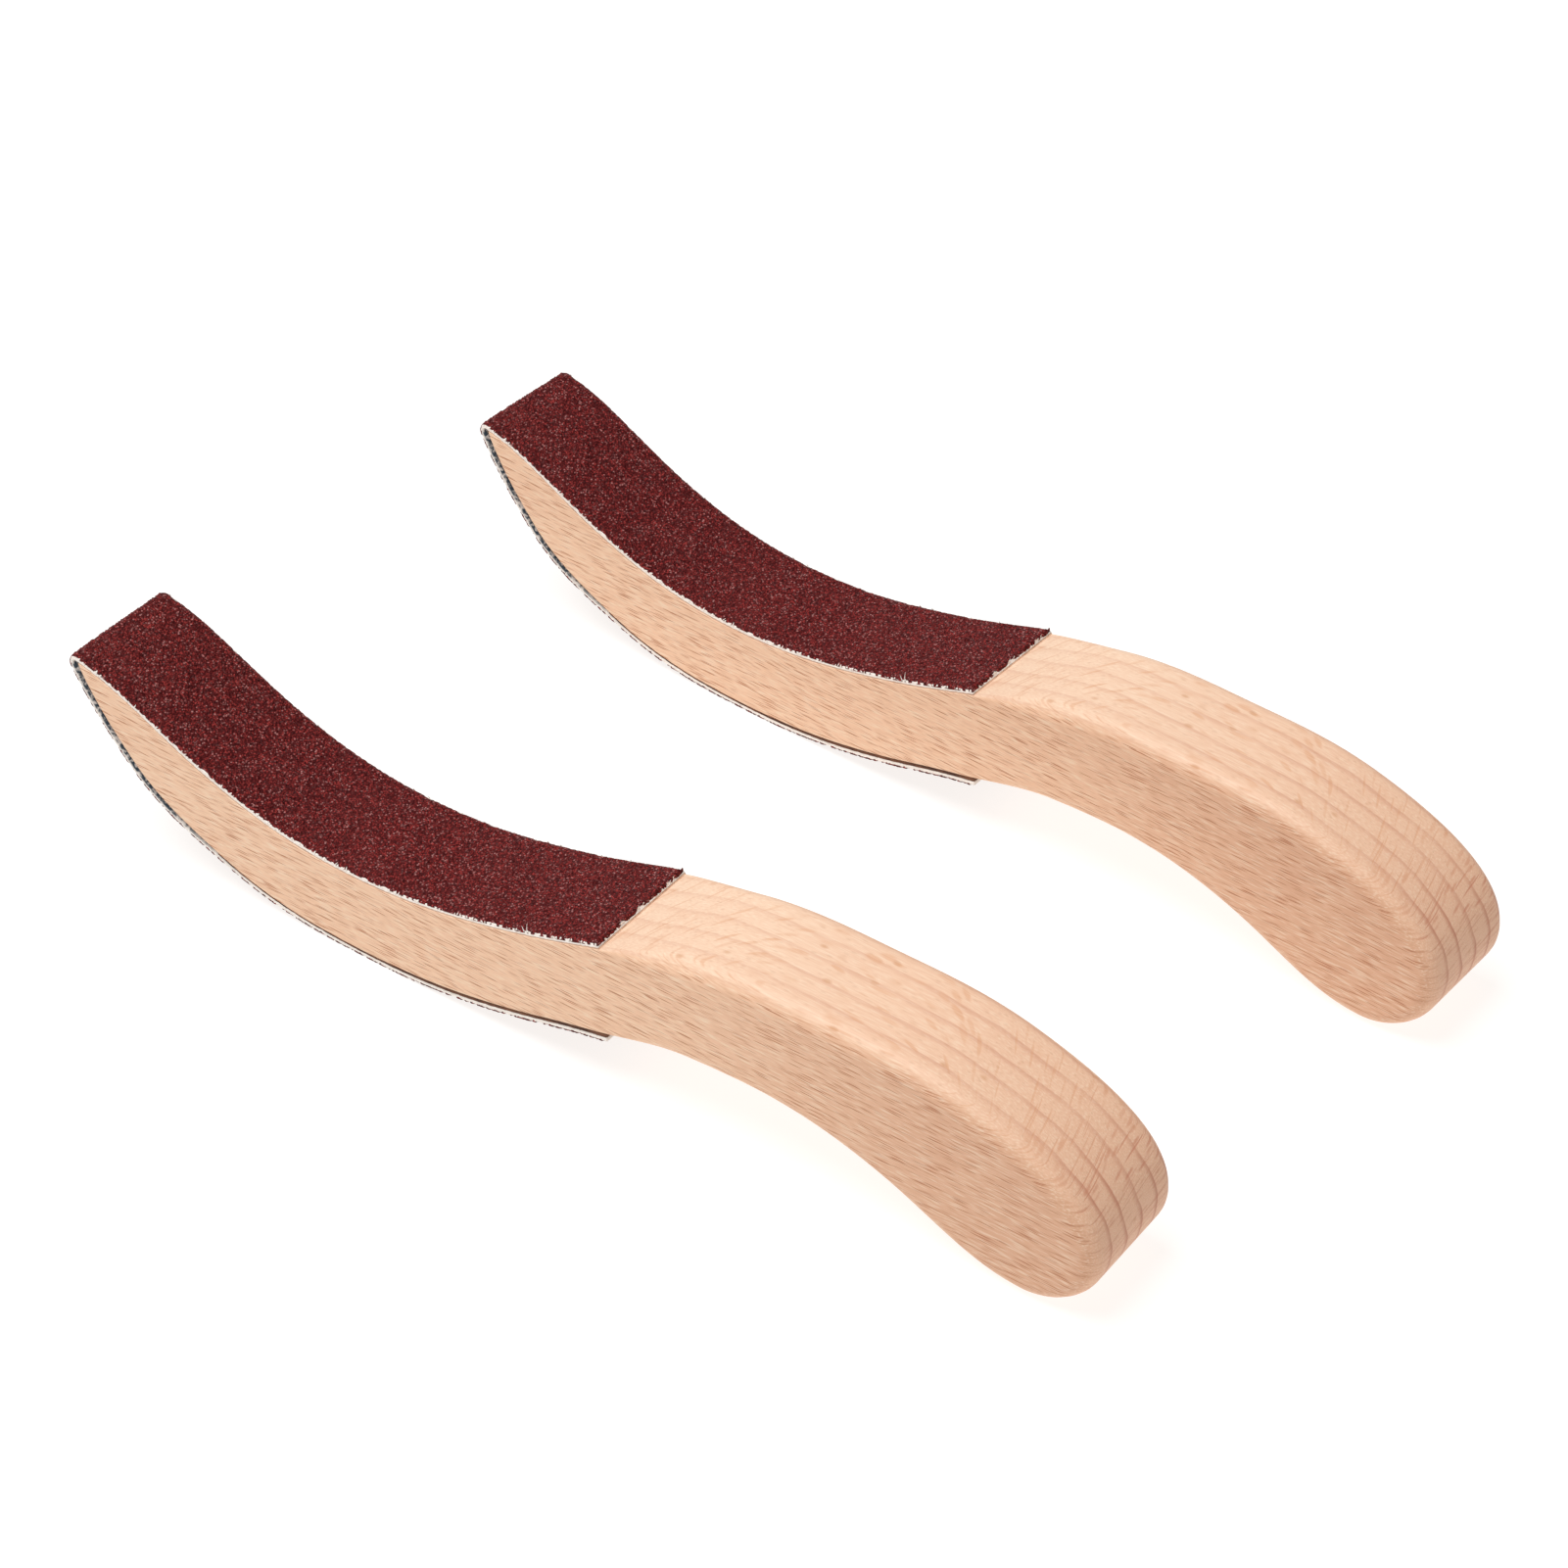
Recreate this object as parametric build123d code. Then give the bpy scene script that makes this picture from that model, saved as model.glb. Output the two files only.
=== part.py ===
from build123d import *
import os

# A pair of S-curved beech hand tools, lying side by side on a flat surface.
# The front half of each one is wrapped in a strip of coarse abrasive cloth:
# along the hollow top, round the thin tip in a small loop, and back under
# the belly. Millimetres; +X runs from the tip to the butt of the handle,
# +Y goes across to the second tool and +Z is up.

# Board and strip
WIDTH = 25.0
STRIP_WIDTH = 24.8
GLUE = 0.25
CLOTH = 0.7
GRIT = 0.55
TOP_STRIP_END = 125.2
UNDER_STRIP_END = 126.4
TOP_GLUE_START = 4.0
UNDER_GLUE_START = 34.0

# Round-over of the bare handle
EDGE_ROUND = 3.2
ROUND_START = 130.0

# The second tool: the first one turned about its tip, then shifted
SECOND_SHIFT = (13.5, 104.4)
SECOND_TURN = -3.3

# Side outline of the wood, tip to butt. Each knot is (x, z, heading in
# degrees); the curve runs smoothly through the knots with those headings.
TOP_KNOTS = [
    (2.7, 38.2, -12),
    (30, 26.6, -23),
    (67, 18.8, 0),
    (104, 24.4, 15),
    (136, 34.9, 18),
    (168, 38.8, -1),
    (200, 36.2, -15),
    (227.7, 14, -90),
]
UNDER_KNOTS = [
    (2.7, 37.8, -66),
    (14, 20.6, -50),
    (34, 7.6, -24),
    (68, 1.5, 0),
    (112, 8.1, 16),
    (154, 15, 2),
    (185, 9.7, -21),
    (213.3, 0, 0),
]
HANDLE = 0.36  # length of a curve's end handles, as a part of its chord
SPLIT_HEIGHT = 20.0  # between the strip's cut end on top and the one below
BEYOND = 300.0  # well past the tool on every side

# The strip's loop in front of the wooden tip, and how far the cloth stands
# off the wood at the first knots of the underside, where it isn't glued
NOSE_CENTRE = (1.9, 38.0)
NOSE_RADIUS = 0.6
STAND_OFF = 0.35


def heading(degrees):
    return Vector(1, 0, 0).rotate(Axis.Y, -degrees)


def curve_through(knots):
    """Smooth curve pieces through knots of (x, z, heading)."""
    pieces = []
    for (x0, z0, a0), (x1, z1, a1) in zip(knots[:-1], knots[1:]):
        start = Vector(x0, 0, z0)
        end = Vector(x1, 0, z1)
        reach = HANDLE * (end - start).length
        pieces.append(Bezier(start, start + heading(a0) * reach, end - heading(a1) * reach, end))
    return pieces


def offset_knots(knots, distance):
    """The knots moved to the left of their headings by a distance."""
    moved = []
    for x, z, angle in knots:
        side = heading(angle + 90) * distance
        moved.append((x + side.X, z + side.Z, angle))
    return moved


def nose_point(angle, radius):
    at = heading(angle) * radius
    return (NOSE_CENTRE[0] + at.X, NOSE_CENTRE[1] + at.Z)


def extruded(edges, width):
    face = Face(Wire(edges))
    return extrude(face, amount=width / 2, dir=(0, 1, 0), both=True)


def block(x0, x1, z0=-BEYOND, z1=BEYOND):
    size = (x1 - x0, 2 * WIDTH, z1 - z0)
    return Pos((x0 + x1) / 2, 0, (z0 + z1) / 2) * Box(*size)


def wrap_outline(outside):
    """Closed outline that lies a distance outside the cloth's inner face."""
    top_angle = TOP_KNOTS[0][2]
    under_angle = UNDER_KNOTS[0][2]
    radius = NOSE_RADIUS + outside
    top_start = nose_point(top_angle + 90, radius)
    under_start = nose_point(under_angle - 90, radius)
    front = nose_point((top_angle + under_angle) / 2 + 180, radius)
    top = [(*top_start, top_angle)] + offset_knots(TOP_KNOTS[1:5], GLUE + outside)
    loose = offset_knots(UNDER_KNOTS[1:2], -(GLUE + STAND_OFF + outside))
    glued = offset_knots(UNDER_KNOTS[2:6], -(GLUE + outside))
    under = [(*under_start, under_angle)] + loose + glued
    loop = ThreePointArc(
        (top_start[0], 0, top_start[1]),
        (front[0], 0, front[1]),
        (under_start[0], 0, under_start[1]),
    )
    close = Line((top[-1][0], 0, top[-1][1]), (under[-1][0], 0, under[-1][1]))
    return [*curve_through(top), close, *curve_through(under), loop]


def strip_zone():
    """Everything between the tip and the two cut ends of the strip."""
    above = block(-BEYOND, TOP_STRIP_END, z0=SPLIT_HEIGHT)
    below = block(-BEYOND, UNDER_STRIP_END, z1=SPLIT_HEIGHT)
    return above + below


def wrap_layer(inside, outside):
    shell = extruded(wrap_outline(outside), STRIP_WIDTH) - extruded(wrap_outline(inside), STRIP_WIDTH)
    return shell & strip_zone()


def make_handle():
    heel = [TOP_KNOTS[-1], (*UNDER_KNOTS[-1][:2], -180)]
    tip = Line(
        (UNDER_KNOTS[0][0], 0, UNDER_KNOTS[0][1]),
        (TOP_KNOTS[0][0], 0, TOP_KNOTS[0][1]),
    )
    outline = [*curve_through(TOP_KNOTS), *curve_through(heel), *curve_through(UNDER_KNOTS), tip]
    board = extruded(outline, WIDTH)
    bare = board & block(ROUND_START, BEYOND)
    wrapped = board & block(-BEYOND, ROUND_START)
    side_edges = bare.edges().filter_by(lambda e: abs(abs(e.center().Y) - WIDTH / 2) < 0.01)
    long_edges = side_edges.filter_by(lambda e: e.center().X > ROUND_START + 0.1)
    return fillet(long_edges, EDGE_ROUND) + wrapped


def glue_films(handle):
    """The two thin films that fill the space between wood and cloth."""
    space = extruded(wrap_outline(0), STRIP_WIDTH) - handle
    top = space & block(TOP_GLUE_START, TOP_STRIP_END)
    under = space & block(UNDER_GLUE_START, UNDER_STRIP_END)
    return top.solids().sort_by(Axis.Z)[-1], under.solids().sort_by(Axis.Z)[0]


def make_tool():
    handle = make_handle()
    top_glue, under_glue = glue_films(handle)
    return {
        "handle": handle,
        "cloth": wrap_layer(0, CLOTH),
        "grit": wrap_layer(CLOTH, CLOTH + GRIT),
        "top_glue": top_glue,
        "under_glue": under_glue,
    }


def place_pair(tool):
    """Both tools, with the origin under the middle of their common box."""
    second = Pos(*SECOND_SHIFT, 0) * Rot(Z=SECOND_TURN)
    pair = {f"near_{name}": solid for name, solid in tool.items()}
    pair.update({f"far_{name}": second * solid for name, solid in tool.items()})
    box = Compound(list(pair.values())).bounding_box()
    to_origin = Pos(-box.center().X, -box.center().Y, -box.min.Z)
    return {name: to_origin * solid for name, solid in pair.items()}


os.makedirs("parts", exist_ok=True)
for node, solid in place_pair(make_tool()).items():
    solid.label = node
    export_step(solid, f"parts/{node}.step")
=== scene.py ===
import math
import random

import bmesh
import bpy
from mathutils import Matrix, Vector, noise


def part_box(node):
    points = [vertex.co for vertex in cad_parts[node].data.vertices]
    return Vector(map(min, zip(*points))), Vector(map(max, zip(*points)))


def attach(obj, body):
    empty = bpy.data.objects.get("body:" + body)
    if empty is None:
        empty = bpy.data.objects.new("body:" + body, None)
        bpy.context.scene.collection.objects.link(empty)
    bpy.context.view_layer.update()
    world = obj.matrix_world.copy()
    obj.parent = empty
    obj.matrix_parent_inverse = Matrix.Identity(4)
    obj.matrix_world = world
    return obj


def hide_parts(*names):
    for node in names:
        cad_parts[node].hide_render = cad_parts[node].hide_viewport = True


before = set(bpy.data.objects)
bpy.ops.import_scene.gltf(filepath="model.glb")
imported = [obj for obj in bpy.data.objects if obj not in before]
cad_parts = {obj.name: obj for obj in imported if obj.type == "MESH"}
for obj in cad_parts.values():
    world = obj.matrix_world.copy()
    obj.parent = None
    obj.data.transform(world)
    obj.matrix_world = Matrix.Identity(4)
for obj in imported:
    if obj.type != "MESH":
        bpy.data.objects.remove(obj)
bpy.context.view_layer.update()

# The tools lie side by side. Each is built in its own frame, in millimetres:
# x from the tip to the butt, y across from the middle plane, z up from the
# surface it stands on. The outline repeats the CAD's driving values.
MM = 0.001
WIDTH = 25.0
STRIP_WIDTH = 24.8
GLUE = 0.25
CLOTH = 0.7
GRIT = 0.5
TIP_X = 2.7
TOP_STRIP_END = 125.2
UNDER_STRIP_END = 126.4
SECOND_SHIFT = (13.5, 104.4)
SECOND_TURN = math.radians(-3.3)
TOP_KNOTS = [
    (2.7, 38.2, -12),
    (30, 26.6, -23),
    (67, 18.8, 0),
    (104, 24.4, 15),
    (136, 34.9, 18),
    (168, 38.8, -1),
    (200, 36.2, -15),
    (227.7, 14, -90),
]
UNDER_KNOTS = [
    (2.7, 37.8, -66),
    (14, 20.6, -50),
    (34, 7.6, -24),
    (68, 1.5, 0),
    (112, 8.1, 16),
    (154, 15, 2),
    (185, 9.7, -21),
    (213.3, 0, 0),
]
HEEL_KNOTS = [(227.7, 14, -90), (213.3, 0, -180)]
HANDLE = 0.36  # how far a knot's handles reach, as a share of the chord

# The cloth's loop round the tip, and how far the loose cloth behind it stands
# off the wood
NOSE_CENTRE = (1.9, 38.0)
NOSE_RADIUS = 0.6
STAND_OFF = 0.35

# Round-over of the bare handle. It grows along x over RUN_IN, from just ahead
# of the end of the strip, and so does the unevenness that sanding leaves.
EDGE_ROUND = 3.2
SHARP_ROUND = 0.2
RUN_IN = (122.5, 143.0)
SANDING_DEPTH = 0.12

# Mesh density
OUTLINE_STEPS = 260
ACROSS_STEPS = 14
ROUND_STEPS = 7
CLOTH_LAYERS = 6
NOSE_STEPS = 12
TUFT_STEPS = 4
TUFT_SIDES = 5
GRAIN_STEP = 0.33

# Grains: how high they and the coat's very edge stand, as shares of its
# thickness, and how far they are pushed about
GRAIN_RISE = (0.45, 0.95)
EDGE_RISE = 0.1
GRAIN_SHIFT = 0.13

# Threads that stand well clear of the strip's near edge: x, length and lean
STRAY_THREADS = ((109.6, 2.0, 0.25), (108.9, 1.2, -0.5), (64.0, 0.9, 0.8), (23.5, 0.8, 0.6))

# The strip's cut end on top: how far its face slopes back, how many tufts are
# tried there, and where the grit has come away: y, and how far to each side
END_SLOPE = 0.2
END_TUFTS = 90
END_BARE = ((-5.1, 1.0), (-0.2, 1.4), (7.9, 0.8))

# Glue films: where each starts and ends along x, how far it reaches to each
# side of the middle plane, how much thicker than the CAD's film it gets, and
# how far it swells past the strip's cut ends
TOP_GLUE_SPAN = (4.0, TOP_STRIP_END)
UNDER_GLUE_SPAN = (34.0, UNDER_STRIP_END)
TOP_GLUE_REACH = 12.38
UNDER_GLUE_REACH = 12.46
TOP_GAP = 0.01
UNDER_GAP = 0.34
GLUE_SQUEEZE = 0.5
GLUE_BITE = 0.03  # how far a film sinks into the board and into the cloth

# The cut edge of the cloth: how far its face leans back over the cloth's
# thickness above, how far it overhangs below, and its slow and fast waves
LEAN_ABOVE = 0.16
LEAN_BELOW = 0.1
SLOW_WAVE = 0.08
FAST_WAVE = 0.05

# The tips of the tufts on the strip's side edges hang no lower than this above the surface the
# tools stand on
FLOOR_CLEARANCE = 0.03

GRIT_SEED = 11
FRAY_SEED = 29


# ---------------------------------------------------------------- outline


def heading(degrees):
    return Vector((math.cos(math.radians(degrees)), math.sin(math.radians(degrees))))


def curve_points(knots, step=0.25):
    """Points (x, z) along the smooth curve through knots of (x, z, heading)."""
    points = [Vector(knots[0][:2])]
    for (x0, z0, a0), (x1, z1, a1) in zip(knots[:-1], knots[1:]):
        start = Vector((x0, z0))
        end = Vector((x1, z1))
        reach = HANDLE * (end - start).length
        near = start + heading(a0) * reach
        far = end - heading(a1) * reach
        count = max(4, math.ceil((end - start).length / step))
        for i in range(1, count + 1):
            t = i / count
            s = 1 - t
            points.append(s**3 * start + 3 * s * s * t * near + 3 * s * t * t * far + t**3 * end)
    return points


def offset_knots(knots, distance):
    """The knots moved to the left of their headings by a distance."""
    moved = []
    for x, z, angle in knots:
        side = heading(angle + 90) * distance
        moved.append((x + side.x, z + side.y, angle))
    return moved


def resample(points, count):
    """The same line as count evenly spaced points."""
    lengths = [0.0]
    for a, b in zip(points[:-1], points[1:]):
        lengths.append(lengths[-1] + (b - a).length)
    even = []
    k = 0
    for i in range(count):
        target = lengths[-1] * i / (count - 1)
        while k < len(points) - 2 and lengths[k + 1] < target:
            k += 1
        span = lengths[k + 1] - lengths[k]
        share = 0 if span < 1e-9 else (target - lengths[k]) / span
        even.append(points[k].lerp(points[k + 1], share))
    return even


def left_normals(points):
    """Unit normals to the left of the line at each point."""
    normals = []
    for i in range(len(points)):
        along = points[min(i + 1, len(points) - 1)] - points[max(i - 1, 0)]
        along.normalize()
        normals.append(Vector((-along.y, along.x)))
    return normals


def smooth_step(low, high, value):
    t = min(max((value - low) / (high - low), 0), 1)
    return t * t * (3 - 2 * t)


def wrap_line():
    """The cloth's inner face, from the end on top, round the tip, to the end below."""
    top_angle = TOP_KNOTS[0][2]
    under_angle = UNDER_KNOTS[0][2]
    centre = Vector(NOSE_CENTRE)
    top_start = centre + heading(top_angle + 90) * NOSE_RADIUS
    under_start = centre + heading(under_angle - 90) * NOSE_RADIUS
    top = curve_points([(*top_start, top_angle)] + offset_knots(TOP_KNOTS[1:5], GLUE))
    loose = offset_knots(UNDER_KNOTS[1:2], -(GLUE + STAND_OFF))
    glued = offset_knots(UNDER_KNOTS[2:6], -GLUE)
    under = curve_points([(*under_start, under_angle)] + loose + glued)
    top = [p for p in top if p.x <= TOP_STRIP_END]
    under = [p for p in under if p.x <= UNDER_STRIP_END]
    first = top_angle + 90
    last = under_angle + 270
    nose = []
    for i in range(1, NOSE_STEPS):
        turn = first + (last - first) * i / NOSE_STEPS
        nose.append(centre + heading(turn) * NOSE_RADIUS)
    return top[::-1] + nose + under


# ------------------------------------------------------------- mesh tools


def make_object(name, bm, material):
    """A piece in the tool's frame, from a bmesh in millimetres."""
    bmesh.ops.recalc_face_normals(bm, faces=bm.faces)
    bmesh.ops.scale(bm, vec=(MM, MM, MM), verts=bm.verts)
    mesh = bpy.data.meshes.new(name)
    bm.to_mesh(mesh)
    bm.free()
    mesh.materials.append(material)
    obj = bpy.data.objects.new(name, mesh)
    bpy.context.scene.collection.objects.link(obj)
    return obj


def bridge_rows(bm, rows, closed):
    """Quads between neighbouring rows of vertices."""
    for a, b in zip(rows[:-1], rows[1:]):
        count = len(a) if closed else len(a) - 1
        for i in range(count):
            j = (i + 1) % len(a)
            bm.faces.new((a[i], a[j], b[j], b[i]))


def smooth(obj):
    for polygon in obj.data.polygons:
        polygon.use_smooth = True


# ----------------------------------------------------------------- handle


def edge_round(x):
    return SHARP_ROUND + (EDGE_ROUND - SHARP_ROUND) * smooth_step(*RUN_IN, x)


def sanding(x, y, z):
    """Slow unevenness that hand sanding leaves, in millimetres."""
    return SANDING_DEPTH * noise.noise(Vector((x / 26, y / 20, z / 22)) + Vector((3, 7, 1)))


def rounded(r, bend, side):
    """Inset and y on an edge of radius r: bend is 0 at the outline, 90 degrees at the side."""
    return r * (1 - math.cos(bend)), side * (WIDTH / 2 - r * (1 - math.sin(bend)))


def handle_mesh():
    """The board: loops round its outline, rounded over at both sides, and two flat sides."""
    top = resample(curve_points(TOP_KNOTS), OUTLINE_STEPS)
    heel = curve_points(HEEL_KNOTS)[::-1]
    under = resample(curve_points(UNDER_KNOTS) + heel[1:], OUTLINE_STEPS)
    loop = top + under[-2:0:-1]
    count = len(loop)
    outward = []
    for i in range(count):
        along = (loop[(i + 1) % count] - loop[i - 1]).normalized()
        outward.append(Vector((-along.y, along.x)))
    rows = []
    bends = [math.radians(90 * k / ROUND_STEPS) for k in range(ROUND_STEPS + 1)]
    bm = bmesh.new()

    def row(place):
        """One loop round the outline. place(r) gives its inset and its y."""
        verts = []
        for p, normal in zip(loop, outward):
            r = edge_round(p.x)
            inset, y = place(r)
            q = p - normal * inset
            swell = sanding(q.x, y, q.y) * smooth_step(*RUN_IN, p.x)
            q = q + normal * swell * (1 - inset / max(r, 0.01))
            verts.append(bm.verts.new((q.x, y, q.y)))
        return verts

    for bend in reversed(bends):
        rows.append(row(lambda r: rounded(r, bend, -1)))
    for k in range(1, ACROSS_STEPS):
        rows.append(row(lambda r: (0.0, (2 * k / ACROSS_STEPS - 1) * (WIDTH / 2 - r))))
    for bend in bends:
        rows.append(row(lambda r: rounded(r, bend, 1)))
    bridge_rows(bm, rows, closed=True)
    for cap in (rows[0], rows[-1]):
        for i in range(OUTLINE_STEPS - 1):
            below = [cap[(-k) % count] for k in (i, i + 1)]
            corners = [cap[i], cap[i + 1], below[1], below[0]]
            unique = list(dict.fromkeys(corners))
            if len(unique) > 2:
                bm.faces.new(unique)
    return bm


def build_handle(material):
    obj = make_object("handle", handle_mesh(), material)
    smooth(obj)
    weighted = obj.modifiers.new("weighted", "WEIGHTED_NORMAL")
    weighted.keep_sharp = True
    return obj


# ------------------------------------------------------------------ strip


def under_gap(x):
    """Extra glue below the board, thickest toward the strip's end."""
    return 0.04 + UNDER_GAP * smooth_step(55, 95, x)


def lift(p, n, run, total):
    """How far the strip stands off the line it would follow if pressed flat."""
    below = smooth_step(0.0, -0.6, n.y)
    end = 0.12 * smooth_step(total - 7, total, run)
    slack = 0.35 * smooth_step(40, 22, p.x) * smooth_step(4, 12, p.x)
    room = max(p.y - CLOTH - GRIT, 0)
    return below * min(under_gap(p.x) + end + slack, room)


def strip_frame():
    """Even stations along the strip: place, outward normal and run."""
    line = wrap_line()
    length = sum((b - a).length for a, b in zip(line[:-1], line[1:]))
    count = round(length / GRAIN_STEP) + 1
    points = resample(line, count)
    normals = [-n for n in left_normals(points)]
    stations = []
    for i, (p, n) in enumerate(zip(points, normals)):
        run = length * i / (count - 1)
        stations.append((p + n * lift(p, n, run, length), n, run))
    return stations, length


def edge_wave(run, side):
    """Unevenness of the cut edge of the strip, in millimetres."""
    slow = noise.noise(Vector((run / 17, side * 5, 0.3)))
    fast = noise.noise(Vector((run / 0.9, side * 9, 4.1)))
    return SLOW_WAVE * slow + FAST_WAVE * fast


def glue_mesh(knots, side, span, extra, reach):
    """The glue between board and cloth, thinning out past the strip's end."""
    first, last = span
    bm = bmesh.new()
    rows = []
    outline = [p for p in curve_points(knots, 0.5) if first <= p.x <= last + GLUE_SQUEEZE]
    for p, normal in zip(outline, left_normals(outline)):
        n = normal * side
        swell = 0.5 + noise.noise(Vector((p.x / 1.7, side, 3.0)))
        ending = smooth_step(last + GLUE_SQUEEZE, last, p.x)
        deep = (GLUE + extra(p.x)) * ending * (0.9 + 0.1 * swell) + GLUE_BITE
        waves = [0.07 * noise.noise(Vector((p.x / 1.3, k * 7, 5.0))) for k in (-1, 1)]
        left, right = [reach + wave for wave in waves]
        corners = ((-left, -GLUE_BITE), (-left, deep), (right, deep), (right, -GLUE_BITE))
        rows.append([bm.verts.new((p.x + n.x * t, y, p.y + n.y * t)) for y, t in corners])
    bridge_rows(bm, rows, closed=True)
    bm.faces.new(rows[0])
    bm.faces.new(rows[-1])
    return bm


def flare(p, n, height):
    """How far the cut edge lies back at a height from 0 at the board to 1 at the grit."""
    back = LEAN_ABOVE * smooth_step(-0.3, 0.6, n.y) * (0.5 + 0.5 * smooth_step(5, 95, p.x))
    return (back - LEAN_BELOW * smooth_step(0.0, -0.6, n.y)) * height


def gap_shade(p, n):
    """How much painted shade the loose cloth below the tip gets, where it stands off the board,
    from 0 to 1.
    """
    return smooth_step(0.1, -0.3, n.y) * smooth_step(46, 20, p.x)


def cloth_mesh(stations):
    """The cotton backing as a closed band with slightly wavy, fuzzy edges."""
    bm = bmesh.new()
    # each vertex's share of painted shade for the gap behind the loose cloth
    gap_shaded = bm.verts.layers.float.new("gap_shade")
    rows = []
    for index, (p, n, run) in enumerate(stations):
        along = Vector((n.y, -n.x))
        ring = []
        for side in (-1, 1):
            for k in range(CLOTH_LAYERS + 1)[::side]:
                height = k / CLOTH_LAYERS
                t = CLOTH * height
                fuzz = 0.07 * noise.noise(Vector((run / 0.35, side * 3 + t * 4, 8.0)))
                y = side * (STRIP_WIDTH / 2 + edge_wave(run, side) + fuzz - flare(p, n, height))
                q = p + n * t
                if index == 0:
                    q += along * END_SLOPE * (1 - height)
                vert = bm.verts.new((q.x, y, q.y))
                # painted shade, darkest on the cloth's face toward the board
                vert[gap_shaded] = gap_shade(p, n) * (1 - 0.92 * smooth_step(0.1, 0.75, height))
                ring.append(vert)
        rows.append(ring)
    bridge_rows(bm, rows, closed=True)
    bm.faces.new(rows[0])
    bm.faces.new(rows[-1])
    return bm


def chip(run, side):
    """0 where the grit reaches the cloth's edge, up to 1 where it has crumbled away."""
    often = smooth_step(0.0, 0.3, noise.noise(Vector((run / 0.75, side * 4, 12.0))))
    rare = smooth_step(0.2, 0.4, noise.noise(Vector((run / 2.6, side * 6, 20.0))))
    return max(0.55 * often, rare)


def grit_mesh(stations, length):
    """The abrasive coat: a sheet of faceted grains, closed underneath.

    Its edges hang a little way down over the cloth's cut edges on top.
    """
    draw = random.Random(GRIT_SEED)
    bm = bmesh.new()
    across = round(STRIP_WIDTH / GRAIN_STEP)
    tops = []
    bottoms = []
    for index, (p, n, run) in enumerate(stations):
        along = Vector((n.y, -n.x))
        upward = smooth_step(-0.3, 0.6, n.y)
        # the sheet's two edges, drawn in where grit has crumbled away
        reach = STRIP_WIDTH / 2 - flare(p, n, 1) + 0.02
        missing = 0.42 - 0.2 * upward
        low, high = [
            end * (reach + edge_wave(run, end) - missing * chip(run, end)) for end in (-1, 1)
        ]
        # how far the edges hang down, how high the row next to them stands, and
        # how much the coat has thinned at the end below
        drape = (0.1 + 0.35 * smooth_step(50, 112, p.x)) * upward
        rim = (0.35, 0.55) if n.y > 0 else (0.6, 0.8)
        worn = 1 - 0.75 * smooth_step(length - 1.5, length, run)
        top = []
        for k in range(across + 1):
            y = low + (high - low) * k / across
            if k in (1, across - 1) and n.y < 0:  # close to the edge below
                y += math.copysign(GRAIN_STEP - 0.08, y)
            inside = 1 < k < across - 1
            rise = worn * GRIT * draw.uniform(*(GRAIN_RISE if inside else rim))
            shift = draw.uniform(-GRAIN_SHIFT, GRAIN_SHIFT) if inside else 0
            free = 0 < k < across and 0 < index < len(stations) - 1
            step = draw.uniform(-GRAIN_SHIFT, GRAIN_SHIFT) if free else 0
            if k in (0, across):
                rise = EDGE_RISE * GRIT
            q = p + n * (CLOTH + rise) - along * step
            top.append(bm.verts.new((q.x, y + shift, q.y)))
        # the two hems, just clear of the cloth's cut edges
        for y, place in ((low, 0), (high, len(top) + 1)):
            fall = drape * (1 - 0.7 * chip(run, math.copysign(1, y)))
            clear = 0.06 * fall / (0.1 + fall)
            hem = y + math.copysign(flare(p, n, 1) - flare(p, n, 1 - fall) + clear, y)
            q = p + n * (CLOTH * (1 - fall) - 0.02)
            top.insert(place, bm.verts.new((q.x, hem, q.y)))
        # the coat's underside lies inside the cloth
        base = p + n * (CLOTH * 0.5)
        bottoms.append([bm.verts.new((base.x, y * 0.985, base.y)) for y in (low, high)])
        tops.append(top)
    bridge_rows(bm, tops, closed=False)
    for (a0, a1), (b0, b1) in zip(bottoms[:-1], bottoms[1:]):
        bm.faces.new((a0, a1, b1, b0))
    for top_a, top_b, low_a, low_b in zip(tops[:-1], tops[1:], bottoms[:-1], bottoms[1:]):
        bm.faces.new((top_a[0], top_b[0], low_b[0], low_a[0]))
        bm.faces.new((top_a[-1], top_b[-1], low_b[1], low_a[1]))
    for top, bottom in ((tops[0], bottoms[0]), (tops[-1], bottoms[-1])):
        bm.faces.new([bottom[0], *top, bottom[1]])
    add_lip(bm, draw, stations[0], stations[1])
    return bm


def bare(y):
    """1 where the end on top has lost its grit and shows the cotton, else 0."""
    wide = max(smooth_step(reach, reach / 4, abs(y - centre)) for centre, reach in END_BARE)
    small = smooth_step(0.25, 0.45, noise.noise(Vector((y / 0.7, 9.0, 31.0))))
    return max(wide, 0.8 * small)


def add_lip(bm, draw, end, inner):
    """Resin and grit that the cut drew down over the strip's end face on top."""
    p, n, _ = end
    out = (p - inner[0]).normalized()
    rows = []
    count = round(STRIP_WIDTH / GRAIN_STEP)
    for k in range(count + 1):
        y = (STRIP_WIDTH - 0.1) * (k / count - 0.5)
        top = CLOTH + GRIT * draw.uniform(0.35, 0.7)
        bottom = CLOTH * draw.uniform(0.2, 0.45)
        bottom += (CLOTH + EDGE_RISE * GRIT - bottom) * bare(y)
        face = draw.uniform(0.08, 0.2) * (1 - 0.7 * bare(y))
        corners = ((0.01, top), (face, top - 0.06), (face, bottom + 0.04), (0.01, bottom))
        ring = [p + out * reach + n * height for reach, height in corners]
        rows.append([bm.verts.new((q.x, y, q.y)) for q in ring])
    bridge_rows(bm, rows, closed=True)
    bm.faces.new(rows[0])
    bm.faces.new(rows[-1])


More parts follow.
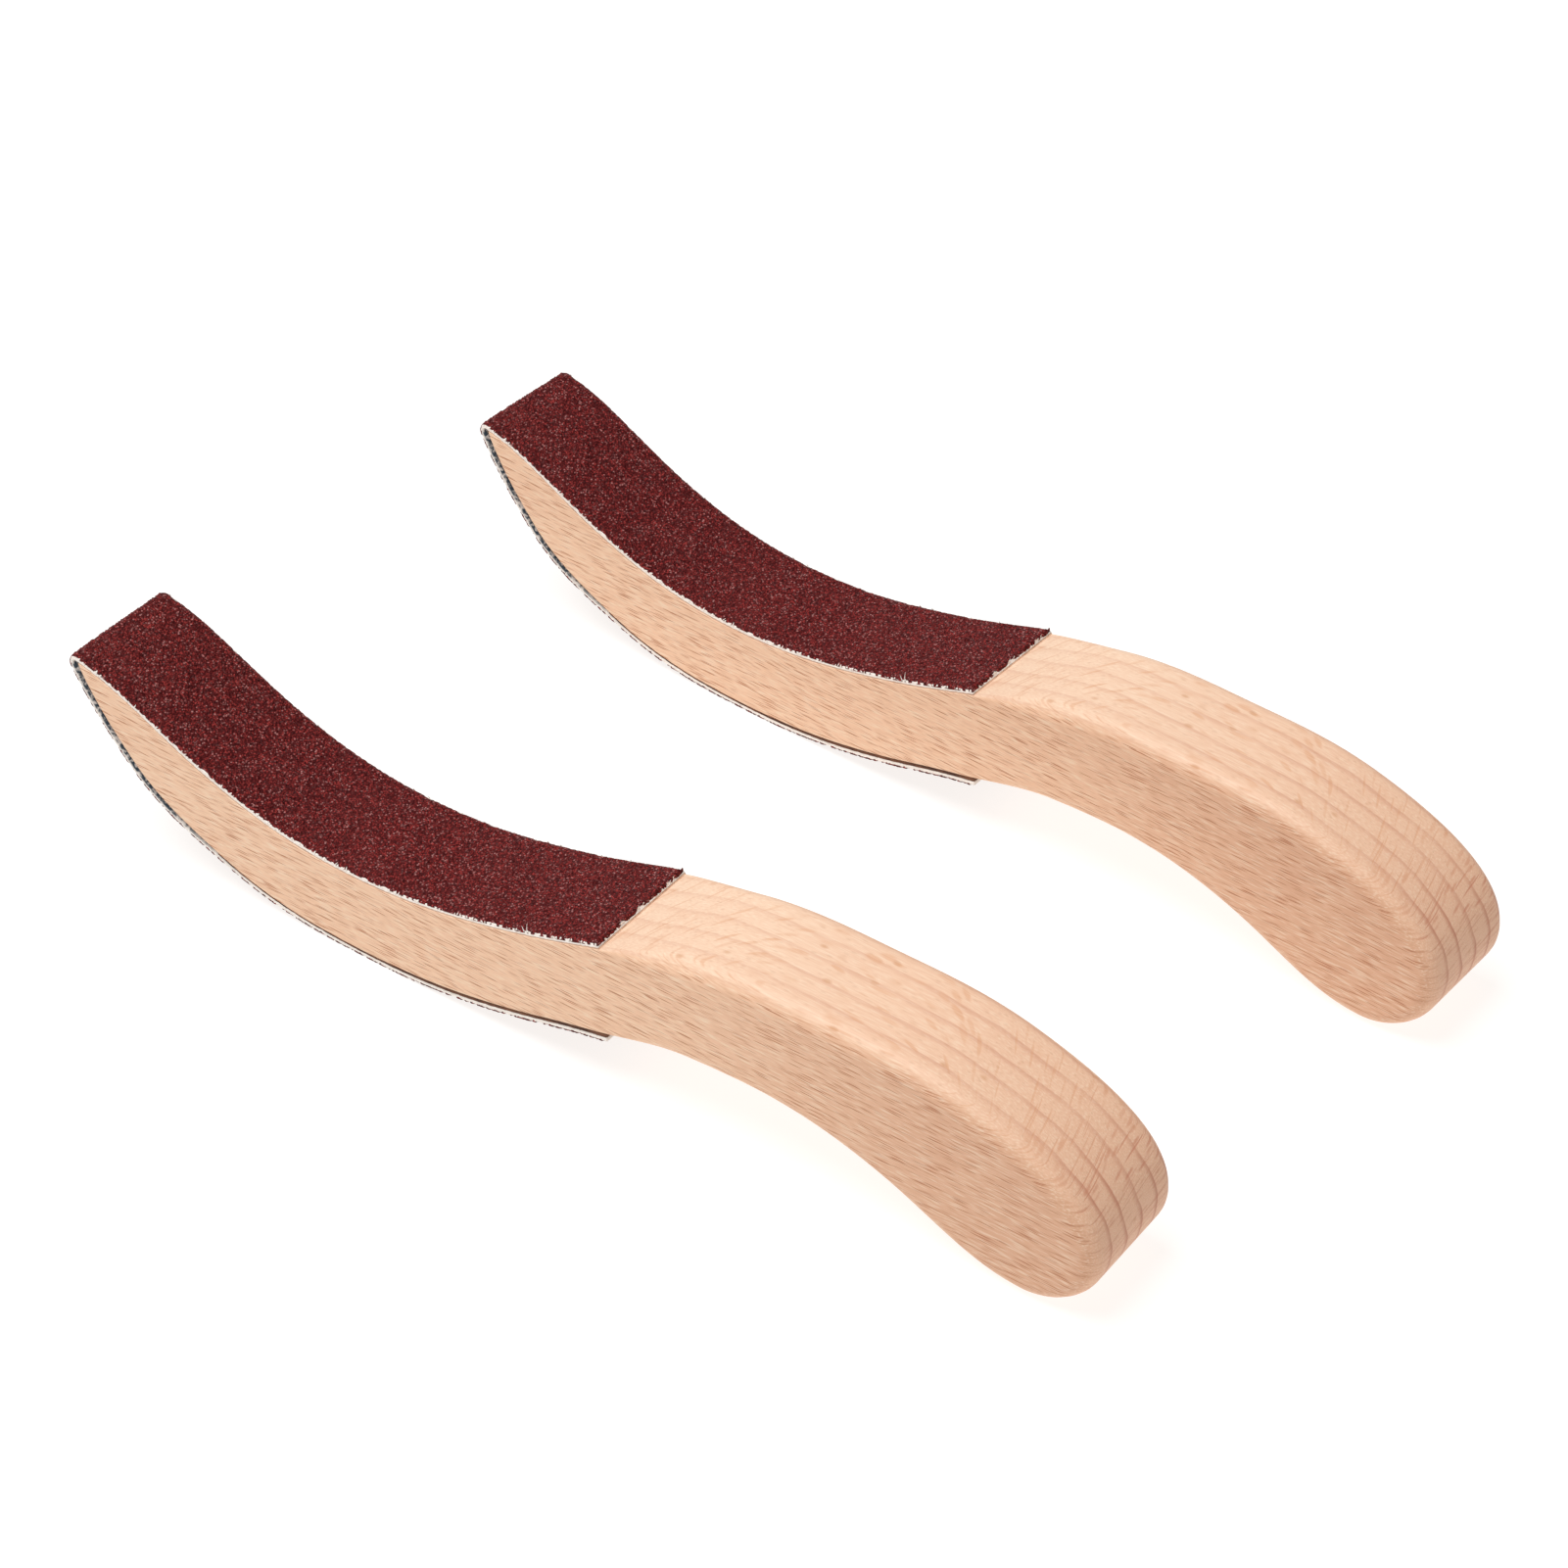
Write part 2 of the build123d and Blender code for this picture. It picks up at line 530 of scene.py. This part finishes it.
def add_tuft(bm, root, tip, bend, wide, thick, across, shade):
    """A tapered, bent tuft of cotton: wide one way, thick the other."""
    gap_shaded = bm.verts.layers.float["gap_shade"]
    direction = (tip - root).normalized()
    side = direction.cross(across).normalized()
    rings = []
    for i in range(TUFT_STEPS):
        t = i / TUFT_STEPS
        centre = root.lerp(tip, t) + bend * (4 * t * (1 - t))
        size = 1 - 0.75 * t
        ring = []
        for k in range(TUFT_SIDES):
            turn = 2 * math.pi * k / TUFT_SIDES
            offset = side * (math.cos(turn) * wide / 2) + across * (math.sin(turn) * thick / 2)
            ring.append(bm.verts.new(centre + offset * size))
        rings.append(ring)
    bridge_rows(bm, rings, closed=True)
    bm.faces.new(rings[0])
    end = bm.verts.new(tip)
    for k in range(TUFT_SIDES):
        bm.faces.new((rings[-1][k], rings[-1][(k + 1) % TUFT_SIDES], end))
    # each tuft carries its share of the painted shade
    for vert in [end] + [v for ring in rings for v in ring]:
        vert[gap_shaded] = shade


def fray_mesh(stations, length):
    """Cotton teeth and fibres that stand out of the strip's cut edges."""
    draw = random.Random(FRAY_SEED)
    bm = bmesh.new()
    # the tufts' share of painted shade for the gap below the tip
    bm.verts.layers.float.new("gap_shade")
    across = Vector((0, 1, 0))

    def stand(run, side, reach, wide, thick, depth, lean, outward):
        """A tuft on a side edge, rooted at depth: 0 at the cloth's inner face, 1 at the grit."""
        index = min(round(run / length * (len(stations) - 1)), len(stations) - 1)
        p, n, _ = stations[index]
        along = Vector((n.y, -n.x))
        y = side * (STRIP_WIDTH / 2 + edge_wave(run, side))
        root = p + n * (CLOTH * depth)
        tip = root + (n + along * lean).normalized() * reach
        tip.y = max(tip.y, FLOOR_CLEARANCE)
        root = Vector((root.x, y - side * 0.02, root.y))
        tip = Vector((tip.x, y + side * outward, tip.y))
        bend_x = draw.uniform(-0.08, 0.08)
        bend_y = side * draw.uniform(0, 0.08)
        bend = Vector((bend_x, bend_y, draw.uniform(-0.05, 0.05)))
        # tufts below the tip take some of the cloth's painted shade
        add_tuft(bm, root, tip, bend, wide, thick, across, 0.4 * gap_shade(p, n))

    for side in (-1, 1):
        run = 0.3
        while run < length - 0.2:
            lean = draw.gauss(0.35, 0.4)
            reach = draw.uniform(0.15, 0.4) if draw.random() < 0.85 else draw.uniform(0.4, 0.8)
            wide = draw.uniform(0.2, 0.7)
            depth = draw.uniform(0.75, 0.95)
            stand(run, side, reach, wide, 0.2, depth, lean, -0.3)
            run += draw.choice((0.5, 0.9, 1.5, 2.4, 4.0)) * draw.uniform(0.7, 1.3)
        run = 0.3
        while run < length - 0.2:
            lean = draw.gauss(0.3, 0.8)
            reach = draw.uniform(0.3, 0.8)
            depth = draw.uniform(0.1, 0.9)
            stand(run, side, reach, 0.1, 0.1, depth, lean, draw.uniform(-0.2, 0.2))
            run += draw.uniform(1.2, 5.0)
    for x, reach, lean in STRAY_THREADS:
        run = min((s for s in stations if s[1].y > 0), key=lambda s: abs(s[0].x - x))[2]
        stand(run, -1, reach, 0.2, 0.2, 0.9, lean, -0.3)
    p, n, _ = stations[0]
    out = (p - stations[1][0]).normalized()
    for _ in range(END_TUFTS):
        y = STRIP_WIDTH * draw.uniform(-0.49, 0.49)
        if bare(y) > draw.uniform(0.1, 0.6):
            root = p + n * (CLOTH * draw.uniform(0.5, 1.0)) - out * 0.05
            tip = root + out * draw.uniform(0.1, 0.35) + n * draw.uniform(0.1, 0.5)
            root = Vector((root.x, y, root.y))
            tip = Vector((tip.x, y + draw.uniform(-0.2, 0.2), tip.y))
            add_tuft(bm, root, tip, Vector((0, 0, 0)), 0.25, draw.uniform(0.2, 0.6), across, 0.0)
    return bm


# -------------------------------------------------------------- materials


def new_material(name):
    material = bpy.data.materials.new(name)
    material.use_nodes = True
    tree = material.node_tree
    shader = tree.nodes["Principled BSDF"]
    return material, tree, shader


def add_node(tree, kind, settings=None, **inputs):
    """A node with some of its inputs set to values or linked to sockets."""
    node = tree.nodes.new(kind)
    for key, value in (settings or {}).items():
        setattr(node, key, value)
    for key, value in inputs.items():
        index = int(key[1:]) if key[0] == "i" and key[1:].isdigit() else key.replace("_", " ")
        socket = node.inputs[index]
        if isinstance(value, bpy.types.NodeSocket):
            tree.links.new(value, socket)
        else:
            socket.default_value = value
    return node


def math_node(tree, operation, a, b=0.0):
    """The result of an operation on one or two values or sockets."""
    return add_node(tree, "ShaderNodeMath", {"operation": operation}, i0=a, i1=b).outputs[0]


def product(tree, *values):
    """Values or sockets multiplied together."""
    total = values[0]
    for value in values[1:]:
        total = math_node(tree, "MULTIPLY", total, value)
    return total


def ramp(tree, value, low, high, to_low=0.0, to_high=1.0):
    """Value from low..high mapped smoothly to to_low..to_high."""
    node = add_node(
        tree,
        "ShaderNodeMapRange",
        {"interpolation_type": "SMOOTHSTEP"},
        Value=value,
        From_Min=low,
        From_Max=high,
        To_Min=to_low,
        To_Max=to_high,
    )
    return node.outputs["Result"]


def mix_colour(tree, share, a, b):
    node = add_node(tree, "ShaderNodeMix", {"data_type": "RGBA"}, i0=share, i6=a, i7=b)
    return node.outputs[2]


def millimetres(tree):
    """The tool's own coordinates, in millimetres."""
    place = tree.nodes.new("ShaderNodeTexCoord").outputs["Object"]
    scale = {"operation": "SCALE"}
    return add_node(tree, "ShaderNodeVectorMath", scale, i0=place, Scale=1 / MM).outputs[0]


def stretched(tree, place, size, move=(0, 0, 0), turn=(0, 0, 0)):
    """Coordinates in which a cell is size millimetres along each axis."""
    kind = {"vector_type": "POINT"}
    turned = add_node(tree, "ShaderNodeMapping", kind, Vector=place, Rotation=turn).outputs[0]
    scale = tuple(1 / s for s in size)
    cells = add_node(tree, "ShaderNodeMapping", kind, Vector=turned, Location=move, Scale=scale)
    return cells.outputs[0]


def noise_at(tree, place, size, move=(0, 0, 0), detail=2.0):
    """Noise with blobs of size millimetres."""
    vector = stretched(tree, place, size, move)
    node = add_node(tree, "ShaderNodeTexNoise", None, Vector=vector, Scale=1.0, Detail=detail)
    return node.outputs[0]


def cells_at(tree, place, size, move=(0, 0, 0), turn=(0, 0, 0)):
    """Voronoi cells of size millimetres: how far from their centres, and a colour each."""
    vector = stretched(tree, place, size, move, turn)
    node = add_node(tree, "ShaderNodeTexVoronoi", None, Vector=vector, Scale=1.0)
    return node.outputs["Distance"], node.outputs["Color"]


def add_bump(tree, shader, height, strength, distance):
    """Bump from a height. The distance is in metres."""
    bump = add_node(tree, "ShaderNodeBump", None, Height=height)
    bump.inputs["Strength"].default_value = strength
    bump.inputs["Distance"].default_value = distance
    tree.links.new(bump.outputs[0], shader.inputs["Normal"])


# Beech: colours in linear light, sizes in millimetres
RING_STEP = 4.65
RING_PHASE = 1.9
RAY_TILT = math.radians(-8.0)
BEECH_PALE = (0.96, 0.69, 0.497, 1)
BEECH_WARM = (0.86, 0.52, 0.34, 1)
BEECH_ROSY = (0.82, 0.47, 0.305, 1)
BEECH_SIDE = (0.965, 0.58, 0.36, 1)
BEECH_SIDE_BUTT = (0.71, 0.385, 0.235, 1)
RING_COLOUR = (0.60, 0.265, 0.165, 1)
FIBRE_PALE = (1.0, 0.84, 0.65, 1)
PORE_COLOUR = (0.66, 0.37, 0.225, 1)
SPECK_COLOUR = (0.66, 0.33, 0.17, 1)
RAY_TOP = (0.70, 0.31, 0.14, 1)
RAY_SIDE = (0.48, 0.165, 0.07, 1)
RAY_END = (0.61, 0.24, 0.15, 1)

# Spindles in the wood: size of their cells, shift, the distances from the
# middle between which they fade out, and the strength of the weakest
BOLD_RAYS = ((8.6, 14.0, 0.35), (0, 0, 0), 0.17, 0.30, 0.55)
FINE_RAYS = ((7.0, 18.0, 0.28), (7, 3, 5), 0.16, 0.30, 0.55)
BROAD_RAYS = ((9.0, 5.0, 0.75), (1, 6, 2), 0.14, 0.42, 0.45)
SPECKS = ((6.5, 3.6, 3.6), (4, 2, 7), 0.06, 0.20, 0.0)
PORES = ((2.6, 0.9, 0.40), (2, 9, 4), 0.10, 0.36, 0.3)

# Grit, cotton and glue: colours in linear light, sizes in millimetres
GRAIN_CELL = (0.35, 0.35, 0.35)
GRIT_DEEP = (0.105, 0.007, 0.007, 1)
GRIT_BRIGHT = (0.43, 0.052, 0.046, 1)
GRIT_GLINT = (0.60, 0.26, 0.24, 1)
GRIT_BLACK = (0.045, 0.005, 0.005, 1)
# painted shade for the hollows between grains
GRIT_HOLLOW_SHADE = (0.045, 0.003, 0.004, 1)
GRIT_DUSTY = (0.22, 0.05, 0.045, 1)
GRIT_CLUMP = (0.058, 0.003, 0.004, 1)
THREAD_CELL = (0.35, 0.3, 0.3)
COTTON_CREAM = (1.0, 0.915, 0.835, 1)
COTTON_DUSTY = (0.92, 0.73, 0.60, 1)
COTTON_SHADE = (0.76, 0.62, 0.53, 1)
# painted shade for the gap behind the loose cloth below the tip
COTTON_GAP_SHADE = (0.045, 0.065, 0.085, 1)
CLEAR_GLUE = ((0.80, 0.54, 0.38, 1), (0.58, 0.33, 0.22, 1))
# the film below the board: partly the glue's own brown, partly painted shade for the gap between
# board and cloth
GAP_SHADED_GLUE = ((0.20, 0.08, 0.04, 1), (0.07, 0.028, 0.016, 1))


def base_tone(tree, place, x, end_grain, side_grain):
    """The wood's main colour: paler toward the tip, with slow drifts."""
    drift = noise_at(tree, place, (38, 10, 10), (9, 4, 3), 3.0)
    colour = mix_colour(tree, ramp(tree, x, 90, 242), BEECH_PALE, BEECH_WARM)
    colour = mix_colour(tree, ramp(tree, drift, 0.35, 0.7, 0.0, 0.2), colour, BEECH_ROSY)
    side = mix_colour(tree, ramp(tree, x, 110, 230), BEECH_SIDE, BEECH_SIDE_BUTT)
    colour = mix_colour(tree, ramp(tree, side_grain, 0, 1, 0.0, 0.55), colour, side)
    return mix_colour(tree, ramp(tree, end_grain, 0, 1, 0.0, 0.35), colour, BEECH_ROSY)


def wandering(tree, place):
    """The coordinates pushed about slowly, for everything that follows the grain."""
    wander = ramp(tree, noise_at(tree, place, (55, 22, 12), detail=1.0), 0.2, 0.8, -0.5, 0.5)
    sideways = math_node(tree, "MULTIPLY", wander, 0.8)
    push = add_node(tree, "ShaderNodeCombineXYZ", None, Y=sideways, Z=wander).outputs[0]
    add = {"operation": "ADD"}
    return add_node(tree, "ShaderNodeVectorMath", add, i0=place, i1=push).outputs[0]


def growth_rings(tree, place, x, y, end_grain, side_grain):
    """Layers across y: how far each has darkened, and the thin line it ends in."""
    bow = ramp(tree, x, 115, 180, -0.9, 0.0)
    wave = ramp(tree, noise_at(tree, place, (22, 9, 9), (5, 1, 2)), 0.25, 0.75, -0.45, 0.45)
    moved = math_node(tree, "ADD", math_node(tree, "ADD", y, bow), wave)
    depth = math_node(tree, "SUBTRACT", moved, RING_PHASE - 100 * RING_STEP)
    layer = math_node(tree, "FRACT", math_node(tree, "DIVIDE", depth, RING_STEP))
    flank = ramp(tree, side_grain, 0.0, 1.0, 1.0, 0.15)
    slow = ramp(tree, layer, 0.25, 0.98)
    bloom = product(tree, slow, ramp(tree, end_grain, 0, 1, 0.22, 0.50), flank)
    late = product(tree, ramp(tree, layer, 0.70, 0.96), ramp(tree, layer, 0.96, 1.0, 1.0, 0.0))
    along = math_node(tree, "MAXIMUM", end_grain, ramp(tree, x, 135, 205, 0.17, 0.45))
    patchy = ramp(tree, noise_at(tree, place, (9, 6, 6), (3, 8, 1)), 0.3, 0.6, 0.45, 1.0)
    return bloom, product(tree, late, product(tree, along, flank), patchy)


def spindles(tree, place, size, move, inner, outer, weakest):
    """Spindles of tissue, one to a cell, leaning with the rays."""
    distance, tint = cells_at(tree, place, size, move, (RAY_TILT, 0, 0))
    pick = add_node(tree, "ShaderNodeSeparateColor", None, Color=tint).outputs[0]
    fade = ramp(tree, distance, inner, outer, 1.0, 0.0)
    return product(tree, fade, ramp(tree, pick, 0.0, 1.0, weakest, 1.0))


def ray_tissue(tree, place, facing_end, facing_side):
    """Dashes on the side faces and cross strokes on the butt, fainter elsewhere."""
    bold = spindles(tree, place, *BOLD_RAYS)
    fine = spindles(tree, place, *FINE_RAYS)
    seen_side = ramp(tree, facing_side, 0.75, 0.98, 0.38, 1.0)
    seen_end = ramp(tree, facing_end, 0.3, 0.85, 0.38, 0.85)
    seen = math_node(tree, "MAXIMUM", seen_side, seen_end)
    thin = product(tree, math_node(tree, "MAXIMUM", bold, fine), seen)
    broad = spindles(tree, place, *BROAD_RAYS)
    broad = product(tree, broad, ramp(tree, facing_end, 0.15, 0.65, 0.0, 0.66))
    return math_node(tree, "MAXIMUM", thin, broad)


def make_beech():
    """Solid beech: its figure runs through the board from face to face."""
    material, tree, shader = new_material("beech")
    place = millimetres(tree)
    split = add_node(tree, "ShaderNodeSeparateXYZ", None, Vector=place)
    x, y = split.outputs["X"], split.outputs["Y"]
    normal = tree.nodes.new("ShaderNodeTexCoord").outputs["Normal"]
    facing = add_node(tree, "ShaderNodeSeparateXYZ", None, Vector=normal)
    facing_end = math_node(tree, "ABSOLUTE", facing.outputs["X"])
    facing_side = math_node(tree, "ABSOLUTE", facing.outputs["Y"])
    end_grain = ramp(tree, facing_end, 0.15, 0.85)
    side_grain = ramp(tree, facing_side, 0.5, 0.95)

    colour = base_tone(tree, place, x, end_grain, side_grain)
    place = wandering(tree, place)
    bloom, line = growth_rings(tree, place, x, y, end_grain, side_grain)
    colour = mix_colour(tree, bloom, colour, BEECH_ROSY)

    # fine fibres and pores along the grain, then the rings' dark lines
    fibre = noise_at(tree, place, (3.6, 0.24, 0.24), (1, 2, 3))
    contrast = ramp(tree, side_grain, 0.0, 1.0, 0.6, 1.0)
    dark = product(tree, ramp(tree, fibre, 0.48, 0.68, 0.0, 0.3), contrast)
    colour = mix_colour(tree, dark, colour, PORE_COLOUR)
    pale = product(tree, ramp(tree, fibre, 0.32, 0.50, 0.45, 0.0), contrast)
    colour = mix_colour(tree, pale, colour, FIBRE_PALE)
    pores = product(tree, spindles(tree, place, *PORES), 0.35)
    colour = mix_colour(tree, pores, colour, PORE_COLOUR)
    colour = mix_colour(tree, line, colour, RING_COLOUR)

    # small brown specks, none on the side faces
    specks = spindles(tree, place, *SPECKS)
    specks = product(tree, specks, ramp(tree, side_grain, 0.0, 0.6, 0.7, 0.0))
    colour = mix_colour(tree, specks, colour, SPECK_COLOUR)

    rays = ray_tissue(tree, place, facing_end, facing_side)
    tint = mix_colour(tree, end_grain, RAY_TOP, RAY_END)
    tint = mix_colour(tree, side_grain, tint, RAY_SIDE)
    colour = mix_colour(tree, rays, colour, tint)
    tree.links.new(colour, shader.inputs["Base Color"])
    tree.links.new(ramp(tree, rays, 0.0, 0.6, 0.50, 0.66), shader.inputs["Roughness"])
    shader.inputs["Specular IOR Level"].default_value = 0.25
    sunk = math_node(tree, "MULTIPLY", rays, -0.6)
    relief = math_node(tree, "ADD", sunk, math_node(tree, "MULTIPLY", fibre, 0.5))
    add_bump(tree, shader, relief, 0.4, 0.00012)
    return material


def make_grit():
    """Dark red grains, each with its own tone, and painted shade in the hollows between them."""
    material, tree, shader = new_material("grit")
    place = millimetres(tree)
    distance, tint = cells_at(tree, place, GRAIN_CELL)
    tone = add_node(tree, "ShaderNodeSeparateColor", None, Color=tint)
    colour = mix_colour(tree, ramp(tree, tone.outputs[0], 0.0, 1.0), GRIT_DEEP, GRIT_BRIGHT)
    glint = ramp(tree, tone.outputs[1], 0.75, 0.96, 0.0, 0.85)
    colour = mix_colour(tree, glint, colour, GRIT_GLINT)
    black = ramp(tree, tone.outputs[2], 0.80, 0.9, 0.0, 0.8)
    colour = mix_colour(tree, black, colour, GRIT_BLACK)
    # painted shade toward the edge of each grain's cell
    hollow_shade = ramp(tree, distance, 0.25, 0.65, 0.0, 0.8)
    colour = mix_colour(tree, hollow_shade, colour, GRIT_HOLLOW_SHADE)
    dust = noise_at(tree, place, (9, 9, 9), (2, 2, 2), 4.0)
    colour = mix_colour(tree, ramp(tree, dust, 0.4, 0.75, 0.0, 0.1), colour, GRIT_DUSTY)
    clump = noise_at(tree, place, (0.75, 0.75, 0.75), (5, 5, 5))
    x = add_node(tree, "ShaderNodeSeparateXYZ", None, Vector=place).outputs["X"]
    clump = product(tree, ramp(tree, clump, 0.44, 0.62), ramp(tree, x, 30, 125, 0.45, 0.2))
    colour = mix_colour(tree, clump, colour, GRIT_CLUMP)
    tree.links.new(colour, shader.inputs["Base Color"])
    rough = ramp(tree, tone.outputs[0], 0, 1, 0.35, 0.8)
    tree.links.new(rough, shader.inputs["Roughness"])
    shader.inputs["Specular IOR Level"].default_value = 0.09
    add_bump(tree, shader, math_node(tree, "SUBTRACT", 1.0, distance), 0.7, 0.0003)
    return material


def make_cotton():
    """Cream cotton with some dust, and painted shade where the mesh marks the gap behind the
    loose cloth below the tip.
    """
    material, tree, shader = new_material("cotton")
    place = millimetres(tree)
    distance, _ = cells_at(tree, place, THREAD_CELL)
    dust = ramp(tree, noise_at(tree, place, (2.5, 2.5, 2.5), (4, 4, 4), 4.0), 0.55, 0.8, 0.0, 0.3)
    colour = mix_colour(tree, dust, COTTON_CREAM, COTTON_DUSTY)
    shade = ramp(tree, distance, 0.4, 0.8, 0.0, 0.1)
    colour = mix_colour(tree, shade, colour, COTTON_SHADE)
    # painted shade from the mesh, broken into blots
    gap_shaded = add_node(tree, "ShaderNodeAttribute", {"attribute_name": "gap_shade"}).outputs["Fac"]
    blots = noise_at(tree, place, (1.1, 0.8, 0.8), (7, 2, 5), 4.0)
    blots = product(tree, gap_shaded, ramp(tree, blots, 0.38, 0.58, 0.3, 1.0))
    colour = mix_colour(tree, blots, colour, COTTON_GAP_SHADE)
    tree.links.new(colour, shader.inputs["Base Color"])
    shader.inputs["Roughness"].default_value = 0.92
    shader.inputs["Specular IOR Level"].default_value = 0.15
    add_bump(tree, shader, distance, 0.5, 0.0001)
    return material


def make_glue(name, pale, dark, rough):
    material, tree, shader = new_material(name)
    place = millimetres(tree)
    blotch = noise_at(tree, place, (3.0, 1.5, 1.5), (6, 1, 8), 4.0)
    colour = mix_colour(tree, ramp(tree, blotch, 0.3, 0.7), pale, dark)
    tree.links.new(colour, shader.inputs["Base Color"])
    shader.inputs["Roughness"].default_value = rough
    shader.inputs["Specular IOR Level"].default_value = 0.2
    add_bump(tree, shader, blotch, 0.4, 0.0001)
    return material


# ------------------------------------------------------------------ stage

CAMERA_AIM = Vector((-0.0185, 0.0217, 0.0))
CAMERA_DISTANCE = 0.7436
CAMERA_AZIMUTH = math.radians(36.0)
CAMERA_ELEVATION = math.radians(39.22)
CAMERA_LENS = 87.8
FLOOR_HALF = 6.0
FLOOR_COLOUR = (0.25, 0.25, 0.25, 1)
FLOOR_GLOW = (1.0, 0.97, 0.94, 1)
FLOOR_GLOW_STRENGTH = 0.88
SKY_STRENGTH = 0.3


def make_camera():
    data = bpy.data.cameras.new("camera")
    data.lens = CAMERA_LENS
    data.sensor_width = 36
    data.clip_start = 0.01
    data.clip_end = 20
    camera = bpy.data.objects.new("camera", data)
    flat = math.cos(CAMERA_ELEVATION)
    back = Vector((
        math.sin(CAMERA_AZIMUTH) * flat,
        -math.cos(CAMERA_AZIMUTH) * flat,
        math.sin(CAMERA_ELEVATION),
    ))
    camera.location = CAMERA_AIM + back * CAMERA_DISTANCE
    camera.rotation_euler = (math.pi / 2 - CAMERA_ELEVATION, 0, CAMERA_AZIMUTH)
    bpy.context.scene.collection.objects.link(camera)
    bpy.context.scene.camera = camera


def area_light(name, place, aim, size, power, colour):
    data = bpy.data.lights.new(name, "AREA")
    data.shape = "DISK"
    data.size = size
    data.energy = power
    data.color = colour
    light = bpy.data.objects.new(name, data)
    light.location = place
    light.rotation_euler = (Vector(aim) - Vector(place)).to_track_quat("-Z", "Y").to_euler()
    bpy.context.scene.collection.objects.link(light)


def make_floor():
    """A large flat pale sheet, softly bright, under the tools."""
    bm = bmesh.new()
    corners = ((-1, -1), (1, -1), (1, 1), (-1, 1))
    bm.faces.new([bm.verts.new((x * FLOOR_HALF, y * FLOOR_HALF, 0)) for x, y in corners])
    mesh = bpy.data.meshes.new("floor")
    bm.to_mesh(mesh)
    bm.free()
    material, _, shader = new_material("floor")
    shader.inputs["Base Color"].default_value = FLOOR_COLOUR
    shader.inputs["Roughness"].default_value = 0.9
    shader.inputs["Specular IOR Level"].default_value = 0.0
    shader.inputs["Emission Color"].default_value = FLOOR_GLOW
    shader.inputs["Emission Strength"].default_value = FLOOR_GLOW_STRENGTH
    mesh.materials.append(material)
    floor = bpy.data.objects.new("floor", mesh)
    bpy.context.scene.collection.objects.link(floor)


def make_lights():
    world = bpy.data.worlds.new("studio")
    world.use_nodes = True
    background = world.node_tree.nodes["Background"]
    background.inputs["Color"].default_value = (1, 1, 1, 1)
    background.inputs["Strength"].default_value = SKY_STRENGTH
    bpy.context.scene.world = world
    area_light(
        "key",
        place=(-0.5, -0.4, 2.0),
        aim=(0, 0, 0),
        size=1.4,
        power=40,
        colour=(0.97, 1.0, 1.03),
    )
    bpy.context.scene.view_settings.view_transform = "Standard"


# --------------------------------------------------------------- assembly


def tool_places():
    """Where each tool's own frame sits: shift in metres and turn about z."""
    low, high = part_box("near_handle")
    corner = Vector((low.x - TIP_X * MM, (low.y + high.y) / 2, 0))
    shift = Vector((SECOND_SHIFT[0] * MM, SECOND_SHIFT[1] * MM, 0))
    return {"near": (corner, 0.0), "far": (corner + shift, SECOND_TURN)}


def place_piece(source, name, tool, slot, *nodes):
    """A copy of a piece, put where that tool lies and riding on its body."""
    piece = source.copy()
    piece.name = f"{tool}_{name}"
    shift, turn = tool_places()[tool]
    piece.location = shift
    piece.rotation_euler = (0, 0, turn)
    bpy.context.scene.collection.objects.link(piece)
    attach(piece, f"{tool}_tool")
    if nodes:
        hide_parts(*(f"{tool}_{node}" for node in nodes))
    return piece


make_camera()
make_lights()
make_floor()

beech = make_beech()
cotton = make_cotton()
grit = make_grit()
clear_glue = make_glue("clear_glue", *CLEAR_GLUE, rough=0.5)
# glue below the board, darkened partly with painted shade for its gap
gap_shaded_glue = make_glue("gap_shaded_glue", *GAP_SHADED_GLUE, rough=0.7)

strip_stations, strip_length = strip_frame()
handle = build_handle(beech)
cloth = make_object("cloth", cloth_mesh(strip_stations), cotton)
smooth(cloth)
coat = make_object("coat", grit_mesh(strip_stations[:-1], strip_length), grit)
fray = make_object("fray", fray_mesh(strip_stations, strip_length), cotton)
smooth(fray)

top_film = glue_mesh(TOP_KNOTS, 1, TOP_GLUE_SPAN, lambda x: TOP_GAP, TOP_GLUE_REACH)
under_film = glue_mesh(UNDER_KNOTS, -1, UNDER_GLUE_SPAN, under_gap, UNDER_GLUE_REACH)
top_glue = make_object("top_glue", top_film, clear_glue)
# the film below the board carries painted shade for its gap
under_glue = make_object("under_glue", under_film, gap_shaded_glue)

for tool in ("near", "far"):
    place_piece(handle, "beech_handle", tool, "beech", "handle")
    backing = place_piece(cloth, "cloth_backing", tool, "strip_cloth", "cloth")
    place_piece(coat, "grit_coat", tool, "strip_grit", "grit")
    edge = place_piece(fray, "cloth_fray", tool, "strip_cloth")
    place_piece(top_glue, "glue_above", tool, "glue", "top_glue")
    place_piece(under_glue, "glue_below", tool, "glue", "under_glue")
for source in (handle, cloth, coat, fray, top_glue, under_glue):
    bpy.data.objects.remove(source)
